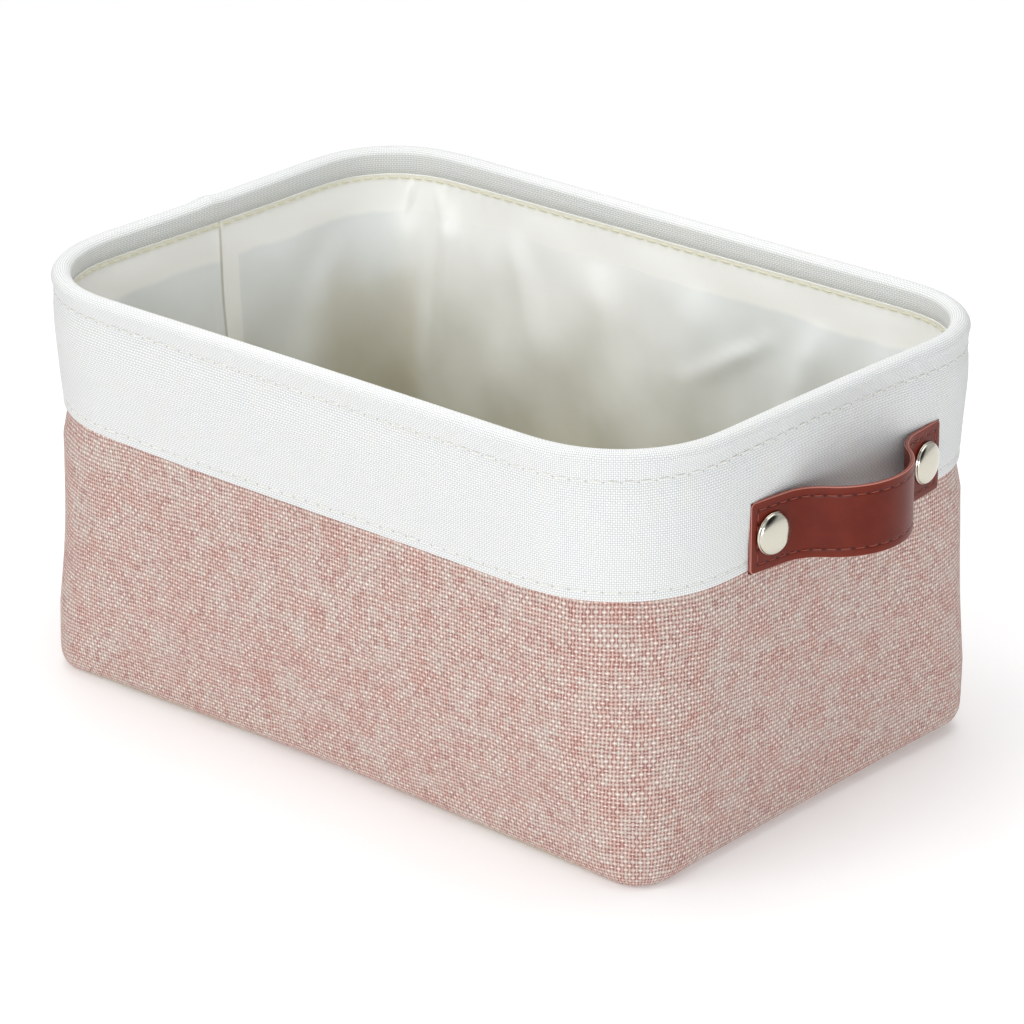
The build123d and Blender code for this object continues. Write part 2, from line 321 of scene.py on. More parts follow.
def capsules(name, starts, ends, normals, radius):
    """Short rounded threads from starts to ends, each lying on a surface with the given normal."""
    sides, stations = THREAD_SIDES, THREAD_STATIONS
    points, faces = [], []
    for a, b, n in zip(starts, ends, normals):
        axis = b - a
        length = np.linalg.norm(axis)
        axis = axis / length
        side = np.cross(n, axis)
        side /= np.linalg.norm(side)
        up = np.cross(axis, side)
        base = len(points)
        for k in range(stations):
            t = k / (stations - 1)
            bulge = math.sqrt(max(0.02, 1 - (2 * t - 1) ** 4))
            middle = a + axis * length * t + up * radius * (bulge - 1.0)
            for s in range(sides):
                turn = 2 * math.pi * s / sides
                across = math.cos(turn) * side + THREAD_FLATNESS * math.sin(turn) * up
                points.append(middle + radius * bulge * across)
        for k in range(stations - 1):
            for s in range(sides):
                s1 = (s + 1) % sides
                faces.append([base + k * sides + s, base + k * sides + s1,
                              base + (k + 1) * sides + s1, base + (k + 1) * sides + s])
        faces.append([base + s for s in reversed(range(sides))])
        faces.append([base + (stations - 1) * sides + s for s in range(sides)])
    return make_mesh(name, np.array(points), faces)


STITCH_LENGTH = 4.6
STITCH_RADIUS = 0.3
# Each stitch rises this far from its start to its middle
STITCH_RISE = 0.12
POINTS_PER_STITCH = 12


def stitch_row(name, z, inset, inward=False, stray=None):
    """A row of stitches round the body at height z, lying at an inset."""
    count = int(round(PERIMETER / STITCH_PITCH))
    columns = count * POINTS_PER_STITCH
    ring = body_rings([z], [inset], columns)[0]
    if stray is not None:
        ring[:, 2] += wander(places_round(columns), stray)
    tangent = units(np.roll(ring, -1, 0) - np.roll(ring, 1, 0))
    normal = np.stack([tangent[:, 1], -tangent[:, 0], np.zeros(columns)], 1) * (-1 if inward else 1)
    reach = STITCH_LENGTH / 2 / (PERIMETER / columns)
    middles = np.arange(count) * POINTS_PER_STITCH + POINTS_PER_STITCH // 2
    closed = np.concatenate([ring, ring[:1]])
    steps = np.arange(columns + 1)
    starts, ends = (np.stack([np.interp(at % columns, steps, closed[:, k]) for k in range(3)], 1)
                    for at in (middles - reach, middles + reach))
    rise = np.array([0, 0, STITCH_RISE])
    return capsules(name, starts - rise, ends + rise, normal[middles], STITCH_RADIUS)


# ------------------------------------------------------------------ materials

class Nodes:
    """Small helper for building one node material."""

    def __init__(self, name, roughness, **sockets):
        self.material = bpy.data.materials.new(name)
        self.material.use_nodes = True
        self.tree = self.material.node_tree
        self.shader = self.tree.nodes["Principled BSDF"]
        self.shader.inputs["Roughness"].default_value = roughness
        for socket, value in sockets.items():
            self.shader.inputs[socket.replace("_", " ")].default_value = value

    def put(self, value, socket):
        if isinstance(value, bpy.types.NodeSocket):
            self.tree.links.new(value, socket)
        else:
            socket.default_value = value

    def math(self, kind, a, b=0.0, c=0.0):
        node = self.tree.nodes.new("ShaderNodeMath")
        node.operation = kind
        for value, socket in zip((a, b, c), node.inputs):
            self.put(value, socket)
        return node.outputs[0]

    def add(self, a, b):
        return self.math("ADD", a, b)

    def sub(self, a, b):
        return self.math("SUBTRACT", a, b)

    def mul(self, a, b):
        return self.math("MULTIPLY", a, b)

    def mul_add(self, a, b, c):
        return self.math("MULTIPLY_ADD", a, b, c)

    def apart(self, a, b):
        """How far two values are apart."""
        return self.math("ABSOLUTE", self.sub(a, b))

    def mix(self, share, a, b, kind="MIX"):
        node = self.tree.nodes.new("ShaderNodeMix")
        node.data_type = "RGBA"
        node.blend_type = kind
        self.put(share, node.inputs[0])
        self.put(a, node.inputs[6])
        self.put(b, node.inputs[7])
        return node.outputs[2]

    def between(self, value, low, high, to_low=0.0, to_high=1.0):
        node = self.tree.nodes.new("ShaderNodeMapRange")
        node.interpolation_type = "SMOOTHSTEP"
        for socket, given in zip(node.inputs, (value, low, high, to_low, to_high)):
            self.put(given, socket)
        return node.outputs[0]

    def uv(self):
        node = self.tree.nodes.new("ShaderNodeUVMap")
        node.uv_map = "cloth"
        parts = self.tree.nodes.new("ShaderNodeSeparateXYZ")
        self.tree.links.new(node.outputs[0], parts.inputs[0])
        return parts.outputs[0], parts.outputs[1]

    def position(self):
        """Object coordinates in millimetres; every piece's object sits at the origin."""
        node = self.tree.nodes.new("ShaderNodeTexCoord")
        scaled = self.tree.nodes.new("ShaderNodeVectorMath")
        scaled.operation = "SCALE"
        self.tree.links.new(node.outputs["Object"], scaled.inputs[0])
        scaled.inputs["Scale"].default_value = 1 / MM
        return scaled.outputs[0]

    def vector(self, x, y, z=0.0):
        node = self.tree.nodes.new("ShaderNodeCombineXYZ")
        for value, socket in zip((x, y, z), node.inputs):
            self.put(value, socket)
        return node.outputs[0]

    def noise(self, vector, scale, detail=2.0, roughness=0.5):
        node = self.tree.nodes.new("ShaderNodeTexNoise")
        self.put(vector, node.inputs["Vector"])
        node.inputs["Scale"].default_value = scale
        node.inputs["Detail"].default_value = detail
        node.inputs["Roughness"].default_value = roughness
        return node.outputs[0]

    def random(self, x, y=0.0):
        node = self.tree.nodes.new("ShaderNodeTexWhiteNoise")
        node.noise_dimensions = "2D"
        self.tree.links.new(self.vector(x, y), node.inputs["Vector"])
        return node.outputs[0]

    def bump(self, height, distance, strength=1.0, under=None):
        node = self.tree.nodes.new("ShaderNodeBump")
        node.inputs["Strength"].default_value = strength
        node.inputs["Distance"].default_value = distance * MM
        self.put(height, node.inputs["Height"])
        if under is not None:
            self.tree.links.new(under, node.inputs["Normal"])
        return node.outputs[0]

    def finish(self, color, normal=None, roughness=None):
        self.put(color, self.shader.inputs["Base Color"])
        if normal is not None:
            self.tree.links.new(normal, self.shader.inputs["Normal"])
        if roughness is not None:
            self.tree.links.new(roughness, self.shader.inputs["Roughness"])
        return self.material


def srgb(r, g, b):
    """A colour given as 0 to 255 display values, in linear light."""
    linear = [(c / 255 / 12.92) if c <= 10 else ((c / 255 + 0.055) / 1.055) ** 2.4 for c in (r, g, b)]
    return (*linear, 1.0)


def plain_weave(nodes, x, y, fill):
    """A plain weave over yarn numbers x and y: whether warp is on top, the height, and the yarn numbers."""
    across, up = nodes.math("ROUND", x), nodes.math("ROUND", y)

    def yarn(place, number, along, other):
        """A round yarn's height across it, and how it goes up and down along it."""
        away = nodes.mul(nodes.sub(place, number), 2 * fill)
        left = nodes.math("MAXIMUM", nodes.sub(1.0, nodes.math("POWER", away, 2.0)), 0.0)
        round_top = nodes.math("SQRT", left)
        wave = nodes.math("COSINE", nodes.mul(nodes.add(along, other), math.pi))
        return round_top, wave

    warp, warp_wave = yarn(x, across, y, across)
    weft, weft_wave = yarn(y, up, x, up)
    warp_height = nodes.mul(warp, nodes.mul_add(warp_wave, 0.42, 0.58))
    weft_height = nodes.mul(weft, nodes.mul_add(weft_wave, -0.42, 0.58))
    on_top = nodes.between(nodes.sub(warp_height, weft_height), -0.08, 0.08)
    return on_top, nodes.math("MAXIMUM", warp_height, weft_height), across, up


def rose_linen():
    """Coarse linen: pink and beige yarns, a pale line along each warp, painted highlights along each weft's
    crest and on its bright crowns where it comes up, painted shade between yarns and rows.
    """
    nodes = Nodes("rose_linen", 0.92, Sheen_Weight=0.1, Sheen_Roughness=0.6)
    u, v = nodes.uv()
    cloth = nodes.vector(u, v)
    wander = nodes.noise(cloth, 0.05, 3.0)
    wander_up = nodes.noise(nodes.vector(v, u, 7.0), 0.05, 3.0)
    x = nodes.mul_add(u, 1 / LINEN_PITCH_U, nodes.mul(wander, 2.2))
    y = nodes.mul_add(v, 1 / LINEN_PITCH_V, nodes.mul(wander_up, 2.2))
    warp_top, height, across, up = plain_weave(nodes, x, y, 0.93)

    def yarn_tone(number, along, seed):
        """How beige a yarn is where it passes: slow changes along it, none shared with its neighbours."""
        place = nodes.vector(nodes.mul(number, 5.3), nodes.mul(along, 0.13), seed)
        return nodes.noise(place, 1.0, 3.0, 0.6)

    def pale_line_and_highlight(place, number, visible):
        """A thin pale line along the middle of a yarn: the warp's own pale colour, and on the weft a painted
        highlight along its crest.
        """
        away = nodes.apart(place, number)
        return nodes.mul(nodes.between(away, 0.06, 0.24, 1.0, 0.0), visible)

    patch = nodes.noise(cloth, 0.075, 3.0, 0.55)
    warp_tone = nodes.mul_add(patch, 0.45, yarn_tone(across, y, 1.0))
    weft_tone = nodes.mul_add(patch, 0.45, yarn_tone(up, x, 9.0))
    warp = nodes.mix(nodes.between(warp_tone, 0.51, 0.91), srgb(180, 124, 112), srgb(190, 174, 164))
    weft = nodes.mix(nodes.between(weft_tone, 0.51, 0.91), srgb(190, 136, 124), srgb(202, 187, 177))
    color = nodes.mix(warp_top, weft, warp)
    speck = nodes.random(across, up)
    color = nodes.mix(nodes.between(speck, 0.72, 1.0, 0.0, 0.75), color, srgb(152, 88, 80))
    fibre = nodes.noise(nodes.vector(nodes.mul(u, 3.2), nodes.mul(v, 3.2)), 1.0, 2.0, 0.7)
    color = nodes.mix(nodes.between(fibre, 0.52, 0.72, 0.0, 0.45), color, srgb(150, 96, 88))
    # Painted shade: the colour darkens where the weave is low, between the yarns.
    gap = nodes.between(height, 0.16, 0.70)
    color = nodes.mix(gap, nodes.mix(1.0, color, srgb(112, 72, 66), "MULTIPLY"), color)
    row_edge = nodes.apart(y, up)
    row_gap = nodes.between(row_edge, 0.36, 0.5, 0.0, nodes.mul_add(warp_top, -0.4, 0.60))
    # Painted shade in the dark line between rows. Some rows lie closer than others for a short way, so the
    # dark line between them comes and goes
    closeness = yarn_tone(up, x, 23.0)
    row_gap = nodes.mul(row_gap, nodes.between(closeness, 0.38, 0.62, 0.5, 1.5))
    spark = nodes.random(up, across)
    color = nodes.mix(row_gap, color, srgb(138, 84, 76))
    # The warp's pale line is its own colour; the weft's pale line is a painted highlight along its crest.
    warp_strand = pale_line_and_highlight(x, across, nodes.mul_add(warp_top, 0.45, 0.30))
    weft_crest_highlight = pale_line_and_highlight(y, up, nodes.mul_add(warp_top, -0.50, 0.80))
    pale = nodes.math("MAXIMUM", warp_strand, weft_crest_highlight)
    pale = nodes.mul(pale, nodes.between(fibre, 0.35, 0.62, 1.0, 0.45))
    pale = nodes.mul(pale, nodes.between(spark, 0.1, 0.9, 0.7, 1.15))
    color = nodes.mix(pale, color, srgb(240, 226, 217))
    # Painted highlight: bright crowns where a weft yarn comes up on top, of random strength.
    crown = nodes.between(height, 0.86, 1.0, 0.0, nodes.between(spark, 0.15, 0.95, 0.3, 0.85))
    color = nodes.mix(nodes.mul(crown, nodes.sub(1.0, warp_top)), color, srgb(252, 244, 238))
    relief = nodes.mul_add(fibre, -0.25, height)
    return nodes.finish(color, nodes.bump(relief, 0.35, 0.8))


def white_cotton():
    """Fine plain-weave cotton, with painted shade in the weave's low places and at the needle holes along its
    two stitch rows.
    """
    nodes = Nodes("white_cotton", 0.85, Sheen_Weight=0.1, Sheen_Roughness=0.5)
    u, v = nodes.uv()
    wander = nodes.noise(nodes.vector(u, v), 0.05, 2.0)
    x = nodes.mul_add(u, 1 / COTTON_PITCH_U, nodes.mul(wander, 1.6))
    y = nodes.mul_add(v, 1 / COTTON_PITCH_V, nodes.mul(wander, 1.6))
    warp_top, height, across, up = plain_weave(nodes, x, y, 1.0)
    # Painted shade: darker where the weave is low.
    shade = nodes.between(height, 0.3, 0.85)
    color = nodes.mix(shade, srgb(172, 175, 175), srgb(248, 249, 248))
    color = nodes.mix(nodes.mul(warp_top, 0.5), color, srgb(212, 215, 216))
    soft = nodes.noise(nodes.vector(u, v, 3.0), 0.12, 3.0, 0.6)
    color = nodes.mix(nodes.between(soft, 0.35, 0.75, 0.0, 0.12), color, srgb(236, 232, 214))
    # Painted shade: a darker spot at each needle hole along both stitch rows.
    for stitch_v in (band_v(RIM_STITCH_Z), band_v(HEM_STITCH_Z)):
        step = nodes.math("FRACT", nodes.math("DIVIDE", u, STITCH_PITCH))
        side = nodes.mul(nodes.math("MINIMUM", step, nodes.sub(1.0, step)), STITCH_PITCH)
        rise = nodes.sub(v, stitch_v)
        away = nodes.math("SQRT", nodes.add(nodes.math("POWER", side, 2.0), nodes.math("POWER", rise, 2.0)))
        color = nodes.mix(nodes.between(away, 0.2, 0.65, 0.4, 0.0), color, srgb(150, 138, 120))
    return nodes.finish(color, nodes.bump(height, 0.2, 0.9))


def cream_lining():
    """Thin lining: whiter above the board's edge and over its gap, greyer where it shows through; painted
    shade makes it darker and more olive towards the bottom, and a painted shadow lies low in the -X+Y corner.
    """
    nodes = Nodes("cream_lining", 0.75, Sheen_Weight=0.1)
    u, v = nodes.uv()
    weave_x = nodes.math("SINE", nodes.mul(u, 2 * math.pi / LINING_PITCH))
    weave_y = nodes.math("SINE", nodes.mul(v, 2 * math.pi / LINING_PITCH))
    fine = nodes.mul(weave_x, weave_y)
    edge = nodes.noise(nodes.vector(u, 0.0), 0.03, 2.0)
    height = nodes.mul_add(edge, 6.0, v)
    above = nodes.between(height, STIFFENER_TOP_Z + 1.0, STIFFENER_TOP_Z + 3.5)
    strip = nodes.mul(nodes.between(u, STRIP_START - 1.0, STRIP_START),
                      nodes.between(u, SEAM_U - 0.6, SEAM_U, 1.0, 0.0))
    bare = nodes.math("MAXIMUM", above, strip)
    loose = nodes.mul(nodes.between(u, PERIMETER * 0.70, PERIMETER * 0.79),
                       nodes.between(u, PERIMETER * 0.885, PERIMETER * 0.905, 1.0, 0.0))
    bare = nodes.math("MAXIMUM", bare, nodes.mul(loose, 0.75))
    # Painted shade: board and cloth both grow darker and more olive towards the bottom of the deep inside.
    cloud = nodes.noise(nodes.vector(u, v), 0.025, 3.0)
    rise = nodes.mul_add(cloud, 50.0, v)
    deep = nodes.between(rise, 40.0, 158.0)
    board = nodes.mix(deep, srgb(172, 168, 146), srgb(238, 241, 241))
    cloth = nodes.mix(deep, srgb(184, 180, 159), srgb(253, 253, 250))
    color = nodes.mix(bare, board, cloth)
    # Painted shadow: a darker brownish patch low down in the -X+Y corner.
    corner = nodes.mul(nodes.between(u, PERIMETER * 0.880, PERIMETER * 0.888),
                        nodes.between(u, PERIMETER * 0.925, PERIMETER * 0.965, 1.0, 0.0))
    low = nodes.mul(corner, nodes.between(nodes.mul_add(cloud, 16.0, v), 102.0, 122.0, 1.0, 0.0))
    color = nodes.mix(nodes.mul(low, 0.42), color, srgb(200, 192, 168))
    seam = nodes.between(nodes.apart(u, SEAM_U), 0.2, 0.9, 0.55, 0.0)
    color = nodes.mix(seam, color, srgb(170, 160, 138))
    stitch = nodes.between(nodes.apart(v, INNER_STITCH_Z), 0.5, 1.6, 0.5, 0.0)
    color = nodes.mix(stitch, color, srgb(238, 234, 208))
    return nodes.finish(color, nodes.bump(fine, 0.03, 0.5))


def leather():
    """Smooth reddish-brown coated leather with a fine grain, painted highlights along its edges, and painted
    shade on its cut sides, along its stitch groove and in its needle holes.
    """
    nodes = Nodes("brown_leather", 0.42, Specular_IOR_Level=0.22)
    place = nodes.position()
    grain = nodes.tree.nodes.new("ShaderNodeTexVoronoi")
    grain.feature = "DISTANCE_TO_EDGE"
    grain.inputs["Scale"].default_value = 1.5
    nodes.tree.links.new(place, grain.inputs["Vector"])
    pebble = nodes.between(grain.outputs[0], 0.0, 0.25)
    fine = nodes.noise(place, 2.4, 3.0)
    cloud = nodes.noise(place, 0.12, 3.0)
    base = nodes.mix(nodes.between(cloud, 0.3, 0.75), srgb(98, 27, 11), srgb(108, 33, 16))
    edge, step = nodes.uv()
    # Painted highlights: lighter towards the rounded edges, and a thin bright line on the arris.
    base = nodes.mix(nodes.between(edge, 0.4, 2.8, 0.25, 0.0), base, srgb(132, 52, 33))
    arris_highlight = nodes.mul(nodes.between(edge, 0.0, 0.08, 0.1, 1.0), nodes.between(edge, 0.16, 0.36, 1.0, 0.0))
    base = nodes.mix(nodes.mul(arris_highlight, 0.8), base, srgb(206, 140, 128))
    # Painted shade: the cut sides are darkened.
    base = nodes.mix(nodes.between(edge, 0.0, 0.07, 0.85, 0.0), base, srgb(66, 20, 13))
    row = nodes.between(nodes.apart(edge, STITCH_INSET), 0.25, 0.7, 1.0, 0.0)
    near = nodes.apart(nodes.math("FRACT", step), 0.5)
    hole = nodes.mul(row, nodes.between(near, 0.36, 0.44))
    # Painted shade along the stitch groove and, darker still, in the needle holes.
    base = nodes.mix(nodes.mul(row, 0.3), base, srgb(74, 22, 12))
    base = nodes.mix(nodes.mul(hole, 0.6), base, srgb(48, 14, 9))
    relief = nodes.mul_add(pebble, 0.5, nodes.mul(fine, 0.6))
    relief = nodes.mul_add(hole, -3.0, relief)
    rough = nodes.between(fine, 0.3, 0.7, 0.34, 0.46)
    return nodes.finish(base, nodes.bump(relief, 0.05, 0.5), rough)


def darker(color, share):
    return tuple(c * share for c in color[:3]) + (1.0,)


def metal(name, color, roughness, scratch):
    """Plated or drawn metal with faint brushed scratches."""
    nodes = Nodes(name, roughness, Metallic=1.0)
    place = nodes.position()
    streak = nodes.noise(place, scratch, 3.0, 0.7)
    tone = nodes.mix(nodes.between(streak, 0.3, 0.7, 0.0, 0.25), color, darker(color, 0.7))
    rough = nodes.between(streak, 0.3, 0.7, roughness * 0.8, roughness * 1.25)
    return nodes.finish(tone, nodes.bump(streak, 0.01, 0.2), rough)


def thread(name, color):
    """Twisted sewing thread, with painted shade in the grooves of its twist."""
    nodes = Nodes(name, 0.7, Sheen_Weight=0.2)
    place = nodes.position()
    parts = nodes.tree.nodes.new("ShaderNodeSeparateXYZ")
    nodes.tree.links.new(place, parts.inputs[0])
    lay = nodes.add(parts.outputs[2], nodes.mul(nodes.add(parts.outputs[0], parts.outputs[1]), 0.7))
    twist = nodes.math("SINE", nodes.mul(lay, 12.0))
    # Painted shade: darker in the grooves of the twist.
    tone = nodes.mix(nodes.between(twist, -1.0, 0.6), darker(color, 0.72), color)
    return nodes.finish(tone, nodes.bump(twist, 0.05, 0.6))


def board(name):
    """Grey pulp board with flecks of fibre."""
    nodes = Nodes(name, 0.9)
    place = nodes.position()
    fleck = nodes.noise(place, 0.9, 4.0, 0.7)
    cloud = nodes.noise(place, 0.05, 2.0)
    tone = nodes.mix(cloud, srgb(176, 168, 148), srgb(196, 190, 172))
    tone = nodes.mix(nodes.between(fleck, 0.62, 0.72, 0.0, 0.5), tone, srgb(120, 108, 88))
    return nodes.finish(tone, nodes.bump(fleck, 0.08, 0.4))


# ------------------------------------------------------------------ rim band

def dress(piece, finish, node, body="bin"):
    """Gives a piece its material, hides the CAD node it stands for, and attaches it to the body it rides on,
    if one is given.
    """
    piece.data.materials.append(finish)
    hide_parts(node)
    if body:
        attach(piece, body)


# The rim's roll: its radius and the height of its middle
BEAD = 3.7
BEAD_Z = TOP_Z - BEAD
STITCH_PITCH = PERIMETER / round(PERIMETER / 5.8)


def bead_arc(first, last):
    """Points of the rim's roll between two angles; 0 is its inner side, 90 its top, 180 its outer side."""
    turn = np.radians(np.linspace(first, last, 25))
    return np.stack([BEAD + BEAD * np.cos(turn), BEAD_Z + BEAD * np.sin(turn)], 1)


def band_line():
    """The band's outer face as (inset, z): up inside, over the wire, down outside to the folded hem."""
    inner = [(5.0, LINER_TOP_Z - 8.5), (5.3, RIM_STITCH_Z - 1.2), (5.7, RIM_STITCH_Z + 0.6),
             (6.7, RIM_STITCH_Z + 2.4), (7.1, RIM_STITCH_Z + 4.6)]
    outer = [(0.75, RIM_STITCH_Z + 0.8), (0.7, RIM_STITCH_Z), (0.72, RIM_STITCH_Z - 0.8),
             (0.2, RIM_STITCH_Z - 4.0), (-0.1, RIM_STITCH_Z - 12), (0.0, HEM_STITCH_Z + 3.0),
             (0.1, HEM_STITCH_Z + 1.0), (0.4, HEM_STITCH_Z), (0.1, HEM_STITCH_Z - 1.0),
             (0.1, BAND_BOTTOM_Z + 0.9), (0.25, BAND_BOTTOM_Z + 0.3), (0.65, BAND_BOTTOM_Z),
             (1.0, BAND_BOTTOM_Z + 0.25)]
    return rounded_line(np.concatenate([inner, bead_arc(24, 205), outer]), 0.25, 0.6)


def thinned(line, tolerance=0.012, longest=2.2):
    """Drops points where the line is nearly straight."""
    kept = [0]
    for k in range(1, len(line) - 1):
        a, b = line[kept[-1]], line[k + 1]
        reach = np.linalg.norm(b - a)
        chord = (b - a) / reach
        between = line[kept[-1]:k + 2] - a
        away = np.abs(between[:, 0] * chord[1] - between[:, 1] * chord[0]).max()
        if away > tolerance or reach > longest:
            kept.append(k)
    return line[kept + [len(line) - 1]]


BAND_LINE = thinned(band_line())


def band_v(z):
    """Cloth length along the band's outer side at a height, in the band's UVs."""
    along = lengths_along(BAND_LINE)
    top = int(BAND_LINE[:, 1].argmax())
    order = np.argsort(BAND_LINE[top:, 1])
    return float(np.interp(z, BAND_LINE[top:, 1][order], along[top:][order]))


def wander(u, table):
    """How far a sewn line strays upwards round the body, through given places and amounts."""
    places, amounts = np.array(table).T
    wrapped = np.interp((u / PERIMETER + np.linspace(-0.03, 0.03, 9)[:, None]) % 1, places, amounts, period=1)
    return wrapped.mean(0)


# Shares of the perimeter, from the -X seam, and millimetres upwards
RIM_ROW_STRAY = ((0.0, 0.8), (0.12, 3.1), (0.2, 1.9), (0.36, 0.2), (0.41, 0.5), (0.455, 2.4), (0.51, 2.5),
                 (0.57, 0.4), (0.75, 0.3))
HEM_STRAY = ((0.0, 1.4), (0.11, 2.5), (0.19, 0.9), (0.3, 1.2), (0.36, 0.5), (0.41, 0.1), (0.46, 1.7),
             (0.56, 1.9), (0.75, 1.1))


# The lump at the -X end where the band's two ends are sewn together: width, and how far it stands out and up
LUMP_WIDTH, LUMP_OUT, LUMP_UP = 4.5, 0.6, 0.7
PUCKER = 0.10


def add_band(cloth):
    profile, v = cloth_skin(BAND_LINE, BAND_THICKNESS)
    u = places_round(BAND_COLUMNS)
    lump = bump_at(u, 0.0, LUMP_WIDTH)
    extra = []
    for inset, z in profile:
        pucker = np.cos(2 * math.pi * u / STITCH_PITCH)
        near = math.exp(-((z - RIM_STITCH_Z) / 2.2) ** 2) + 0.8 * math.exp(-((z - HEM_STITCH_Z) / 1.8) ** 2)
        wave = PUCKER * pucker * near
        if z > RIM_STITCH_Z + 1:
            wave = wave + (LUMP_OUT * lump if inset < BEAD else -0.5 * bump_at(u, 0.0, 4.0))
        wave = wave + 0.12 * ripple(u, z, 8, 30, 5) * math.sin(math.pi * np.clip((z - 102) / 40, 0, 1))
        extra.append(wave)
    rings = body_rings(profile[:, 1], profile[:, 0], BAND_COLUMNS, extra)
    outside = (profile[:, 0] < 2.0)[:, None]
    heights = profile[:, 1][:, None]
    rings[:, :, 2] += outside * np.exp(-((heights - RIM_STITCH_Z) / 6.5) ** 2) * wander(u, RIM_ROW_STRAY)
    rings[:, :, 2] += np.clip((125 - heights) / 15, 0, 1) * wander(u, HEM_STRAY)
    wire_height = 0.5 * ripple(u, 0 * u, 4, 200, 9)
    at_rim = np.clip((rings[:, :, 2] - 140) / 12, 0, 1)
    rings[:, :, 2] += at_rim * (LUMP_UP * lump + wire_height - 0.4)
    band = tube("rim_band_cloth", rings, v)
    dress(band, cloth, "rim_band")


# ------------------------------------------------------------------ outer wall and base

# How far the wall cloth goes up behind the band
BEHIND_BAND = 14.0
# The bottom edge's corners, as shares of the perimeter, where the base pulls the wall into points, and how
# far the linen is fuller there between base and band
CORNER_PLACES = (0.0965, 0.4035, 0.5965, 0.9035)
CORNER_POINT = 0.45
CORNER_FULLNESS = 1.9


def wall_line():
    """The wall cloth's outer face as (inset, z): from behind the band, down and round to the base seam."""
    turn = np.radians(np.linspace(180, 270, 15))
    r = BOTTOM_ROUNDING
    corner = np.stack([WALL_INSET + r + r * np.cos(turn), 0.2 + r + r * np.sin(turn)], 1)
    top = [(WALL_INSET, BAND_BOTTOM_Z + BEHIND_BAND), (WALL_INSET + 0.05, BAND_BOTTOM_Z),
           (WALL_INSET, BAND_BOTTOM_Z - 3)]
    tuck = [(WALL_INSET + r + 2.2, 0.3), (WALL_INSET + r + 2.8, 1.0)]
    return thinned(rounded_line(np.concatenate([top, corner, tuck]), 0.4, 1.2), 0.012, 2.4)


def add_wall(cloth):
    profile, v = cloth_skin(wall_line(), WALL_THICKNESS)
    u = places_round(CLOTH_COLUMNS)
    corners = sum(bump_at(u, share * PERIMETER, 26) for share in CORNER_PLACES)
    inset, height = profile.T
    on_curve = inset < WALL_INSET + BOTTOM_ROUNDING + 0.5
    curve = np.clip(inset - WALL_INSET, 0, BOTTOM_ROUNDING) * on_curve
    full = (CORNER_FULLNESS * np.clip((BAND_BOTTOM_Z - 1 - height) / 9, 0, 1)
            * np.clip((height - 3) / 22, 0, 1))
    extra = [(CORNER_POINT * c + f) * corners for c, f in zip(curve, full)]
    wall = tube("outer_wall_cloth", body_rings(height, inset, CLOTH_COLUMNS, extra), v)
    dress(wall, cloth, "outer_wall")


def add_panel(name, node, z, inset, thickness, finish):
    panel = flat_panel(name, z, inset, thickness)
    dress(panel, finish, node)


BOARD_INSET, BOARD_FOOT, BOARD_THICKNESS = 2.6, 9.0, 1.5
BOARD_COLUMNS = 400


def add_stiffener(finish):
    line, _ = spaced([(BOARD_INSET, STIFFENER_TOP_Z), (BOARD_INSET, BOARD_FOOT)], 3.0)
    profile, v = cloth_skin(line, BOARD_THICKNESS)
    piece = tube("stiffener_board", body_rings(profile[:, 1], profile[:, 0], BOARD_COLUMNS), v)
    dress(piece, finish, "wall_stiffener")


# The base seam's stitches are counted on a shorter line, and each spans five eighths of its step
BASE_SEAM_SHARE = 0.9
BASE_STITCH_Z = 0.45


def add_base_stitches(finish):
    """The seam between wall and base, on the underside."""
    count = int(PERIMETER * BASE_SEAM_SHARE / STITCH_PITCH)
    ring, _ = outline(0.0, count * 8)
    reach = np.linalg.norm(ring, axis=1)[:, None]
    ring = np.column_stack([ring * (1 - BASE_SEAM_INSET / reach), np.full(len(ring), BASE_STITCH_Z)])
    down = [np.array([0, 0, -1.0])] * count
    row = capsules("base_stitches", ring[1::8], ring[6::8], down, STITCH_RADIUS)
    dress(row, finish, "base_seam_thread")


WIRE_COLUMNS, WIRE_SIDES = 720, 16
WIRE_RADIUS, SLEEVE_RADIUS = 1.3, 1.85
# Half the lengths of the open wire and of the sleeve over its ends
WIRE_REACH, SLEEVE_REACH = PERIMETER / 2 - 0.5, 12.0


def add_wire(finish):
    """The wire in the rim's roll, and the sleeve that joins its ends at the -X end."""
    centre = body_rings([BEAD_Z], [BEAD], WIRE_COLUMNS)[0]
    u = places_round(WIRE_COLUMNS)
    half_way = WIRE_COLUMNS // 2
    in_sleeve = np.abs(off_place(u, 0)) <= SLEEVE_REACH
    wire_path = centre[np.abs(u - PERIMETER / 2) <= WIRE_REACH]
    sleeve_path = np.roll(centre, half_way, axis=0)[np.roll(in_sleeve, half_way)]
    turns = np.arange(WIRE_SIDES) * 2 * math.pi / WIRE_SIDES
    for name, node, radius, path in (("rim_wire_ring", "rim_wire", WIRE_RADIUS, wire_path),
                                     ("wire_sleeve", "wire_ferrule", SLEEVE_RADIUS, sleeve_path)):
        tangent = units(np.gradient(path, axis=0))
        side = np.stack([tangent[:, 1], -tangent[:, 0], np.zeros(len(path))], 1)
        rings = [p + radius * (np.outer(np.cos(turns), s) + np.outer(np.sin(turns), [0, 0, 1]))
                 for p, s in zip(path, side)]
        last = (len(rings) - 1) * WIRE_SIDES
        faces = [list(f) for f in grid_faces(len(rings), WIRE_SIDES, False, True)]
        faces += [list(range(WIRE_SIDES - 1, -1, -1)), list(range(last, last + WIRE_SIDES))]
        dress(make_mesh(name, np.array(rings), faces), finish, node)


# ------------------------------------------------------------------ lining

